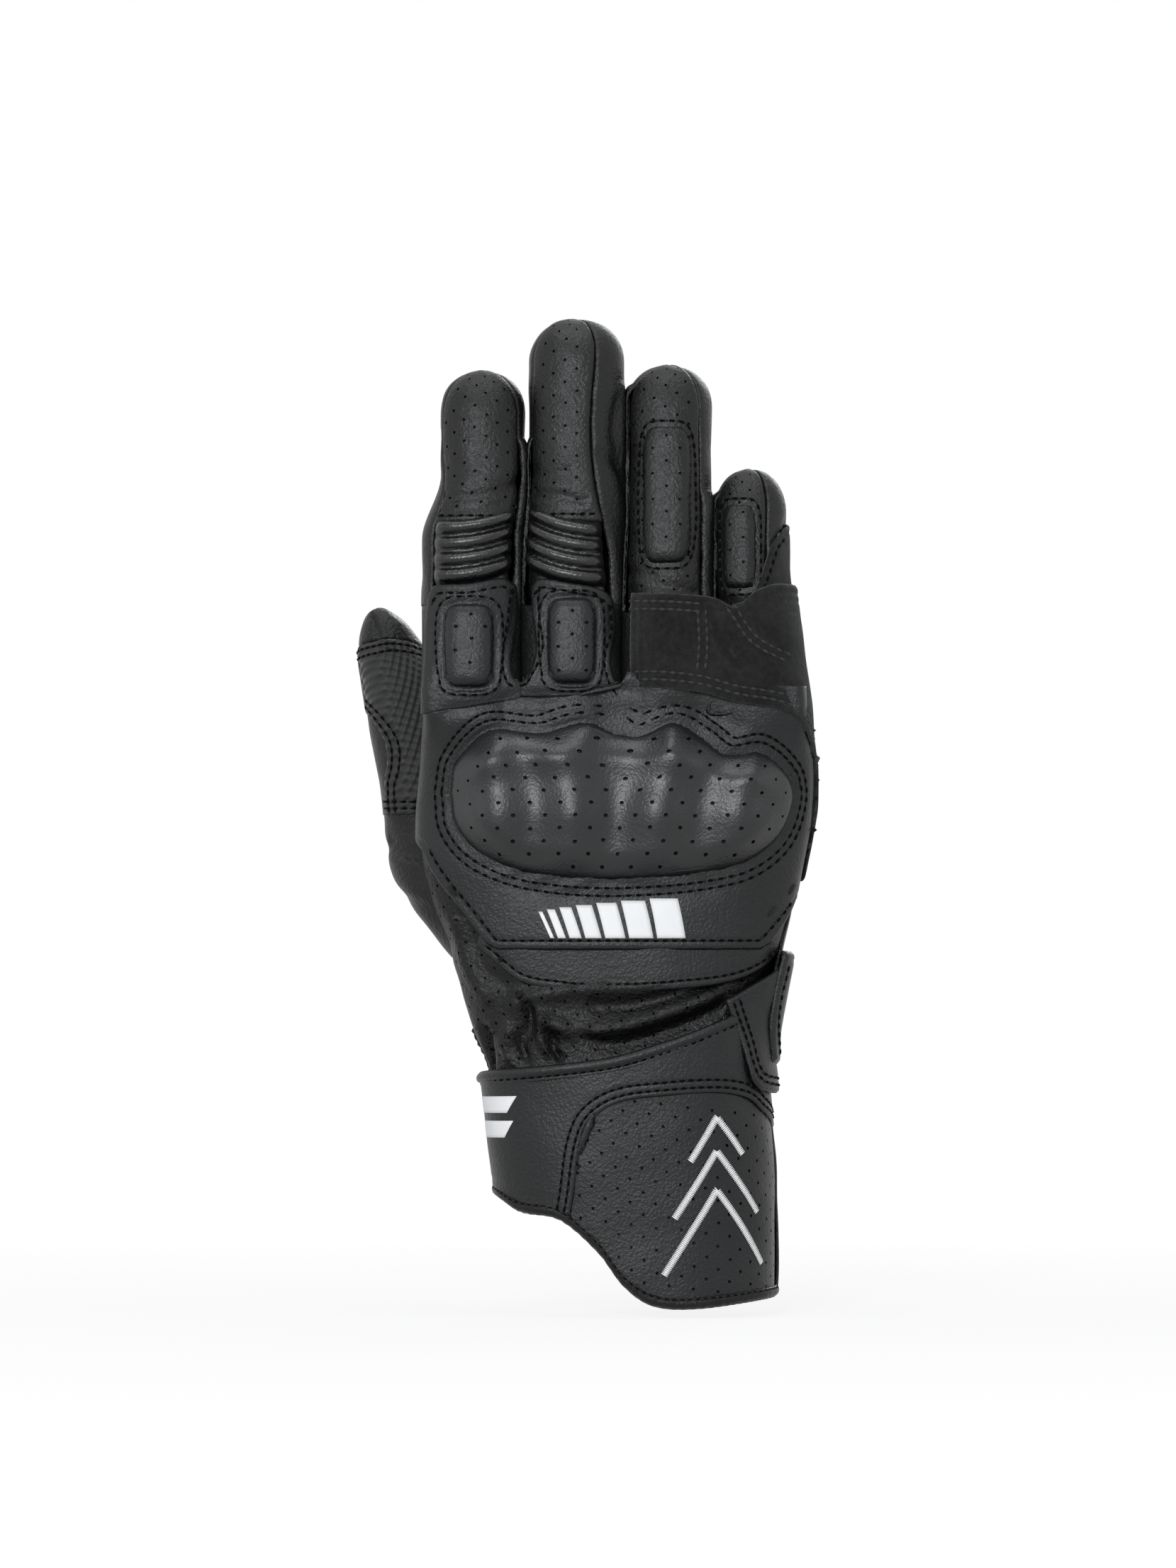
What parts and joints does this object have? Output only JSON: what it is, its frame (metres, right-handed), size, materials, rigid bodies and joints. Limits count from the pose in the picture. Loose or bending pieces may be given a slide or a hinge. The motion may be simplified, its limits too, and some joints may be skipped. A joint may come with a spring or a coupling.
{
  "type": "motorcycle riding glove",
  "caption": "Short-cuff leather riding glove with knuckle guard, ribbed finger joints, finger bridge, palm slider, wrist strap and cuff flap; fingers, thumb and wrist bend.",
  "frame": {"origin": "centre of the cuff mouth, level with the cuff's lowest edge", "axes": "+Z from the cuff mouth to the fingertips, +X towards the little finger, +Y out of the palm"},
  "size_m": [0.1307, 0.0692, 0.2806],
  "materials": {
    "grained_leather": "fine grain, dull sheen",
    "smooth_leather": "smooth, soft sheen",
    "perforated_leather": "fine grain, punched with small holes",
    "stuffed_pad": "grained leather over foam",
    "suede": "matte suede",
    "woven_fabric": "coarse aramid weave",
    "lining": "brushed knit",
    "elastic": "ribbed elastic",
    "hook_and_loop": "hooks and loops",
    "guard_plastic": "moulded",
    "foam": "closed-cell foam",
    "slider_plastic": "moulded, fine texture"
  },
  "bodies": {
    "cuff": {"cuff_back_panel": "smooth_leather", "cuff_perforated_panel": "perforated_leather", "cuff_palm_panel": "grained_leather", "cuff_binding": "smooth_leather", "cuff_hem": "smooth_leather", "cuff_lining": "lining", "cuff_loop_patch": "hook_and_loop"},
    "cuff_flap": {"cuff_flap": "smooth_leather", "flap_hook_patch": "hook_and_loop"},
    "hand": {"back_panel": "smooth_leather", "palm_panel": "grained_leather", "back_yoke": "smooth_leather", "guard_foam": "foam", "guard_shell": "guard_plastic", "guard_cover": "perforated_leather", "hand_lining": "lining", "side_panel": "suede", "palm_patch": "suede", "palm_slider": "slider_plastic", "thumb_root": "grained_leather", "wrist_gusset": "perforated_leather", "wrist_elastic": "elastic", "strap_anchor": "smooth_leather", "strap_loop_patch": "hook_and_loop", "finger_linings": "lining", "knuckle_gussets": "grained_leather", "bend_gussets": "grained_leather", "thumb_gussets": "grained_leather"},
    "wrist_strap": {"wrist_strap": "smooth_leather", "strap_hook_patch": "hook_and_loop"},
    "index_base": {"index_base_tab": "smooth_leather", "index_base_sleeve": "grained_leather", "index_pad": "stuffed_pad", "index_ribbed_panel": "grained_leather"},
    "index_tip": {"index_tip_back": "perforated_leather", "index_tip_palm": "grained_leather", "index_tip_walls": "grained_leather"},
    "middle_base": {"middle_base_tab": "smooth_leather", "middle_base_sleeve": "grained_leather", "middle_pad": "stuffed_pad", "middle_ribbed_panel": "grained_leather"},
    "middle_tip": {"middle_tip_back": "perforated_leather", "middle_tip_palm": "grained_leather", "middle_tip_walls": "grained_leather"},
    "ring_little_base": {"ring_base_sleeve": "grained_leather", "little_base_sleeve": "grained_leather", "finger_bridge": "suede"},
    "ring_tip": {"ring_tip_back": "perforated_leather", "ring_tip_palm": "grained_leather", "ring_tip_walls": "grained_leather", "ring_pad": "stuffed_pad"},
    "little_tip": {"little_tip_back": "perforated_leather", "little_tip_palm": "grained_leather", "little_tip_walls": "grained_leather", "little_pad": "stuffed_pad"},
    "thumb_base": {"thumb_woven_panel": "woven_fabric", "thumb_base_palm": "grained_leather"},
    "thumb_tip": {"thumb_tip_cap": "grained_leather", "thumb_tip_palm": "grained_leather"}
  },
  "joints": [
    {"name": "wrist_bend", "type": "hinge", "parent": "cuff", "child": "hand", "pos_m": [0, 0, 0.082], "axis": [-1, 0, 0], "range_deg": [-15, 20], "deforming": ["wrist_gusset", "wrist_elastic"]},
    {"name": "cuff_flap_open", "type": "hinge", "parent": "cuff", "child": "cuff_flap", "pos_m": [-0.0459, 0.0024, 0.04575], "axis": [0, 0, 1], "range_deg": [0, 120]},
    {"name": "wrist_strap_open", "type": "hinge", "parent": "hand", "child": "wrist_strap", "pos_m": [0.0454, 0.0054, 0.084], "axis": [0, 0, -1], "range_deg": [0, 120]},
    {"name": "index_knuckle", "type": "hinge", "parent": "hand", "child": "index_base", "pos_m": [-0.0456, 0, 0.185], "axis": [-1, 0, 0], "range_deg": [0, 40], "deforming": ["knuckle_gussets", "finger_linings"]},
    {"name": "index_bend", "type": "hinge", "parent": "index_base", "child": "index_tip", "pos_m": [-0.0456, 0.0056, 0.214], "axis": [-1, 0, 0], "range_deg": [0, 50], "deforming": ["index_ribbed_panel", "bend_gussets", "finger_linings"]},
    {"name": "middle_knuckle", "type": "hinge", "parent": "hand", "child": "middle_base", "pos_m": [-0.0172, 0, 0.185], "axis": [-1, 0, 0], "range_deg": [0, 40], "deforming": ["knuckle_gussets", "finger_linings"]},
    {"name": "middle_bend", "type": "hinge", "parent": "middle_base", "child": "middle_tip", "pos_m": [-0.0172, 0.0056, 0.214], "axis": [-1, 0, 0], "range_deg": [0, 60], "deforming": ["middle_ribbed_panel", "bend_gussets", "finger_linings"]},
    {"name": "outer_knuckles", "type": "hinge", "parent": "hand", "child": "ring_little_base", "pos_m": [0.022, 0, 0.185], "axis": [-1, 0, 0], "range_deg": [0, 40], "deforming": ["knuckle_gussets", "finger_linings"]},
    {"name": "ring_bend", "type": "hinge", "parent": "ring_little_base", "child": "ring_tip", "pos_m": [0.0102, 0.0053, 0.208], "axis": [-1, 0, 0], "range_deg": [0, 55], "deforming": ["bend_gussets", "finger_linings"]},
    {"name": "little_bend", "type": "hinge", "parent": "ring_little_base", "child": "little_tip", "pos_m": [0.035, 0.0049, 0.201], "axis": [-1, 0, 0], "range_deg": [0, 55], "deforming": ["bend_gussets", "finger_linings"]},
    {"name": "thumb_swing", "type": "hinge", "parent": "hand", "child": "thumb_base", "pos_m": [-0.058, 0.027, 0.134], "axis": [-0.8, 0.6, 0], "range_deg": [0, 30], "deforming": ["thumb_gussets", "finger_linings"]},
    {"name": "thumb_bend", "type": "hinge", "parent": "thumb_base", "child": "thumb_tip", "pos_m": [-0.063, 0.0276, 0.17], "axis": [-0.8, 0.6, 0], "range_deg": [0, 40], "deforming": ["thumb_gussets", "finger_linings"]}
  ]
}
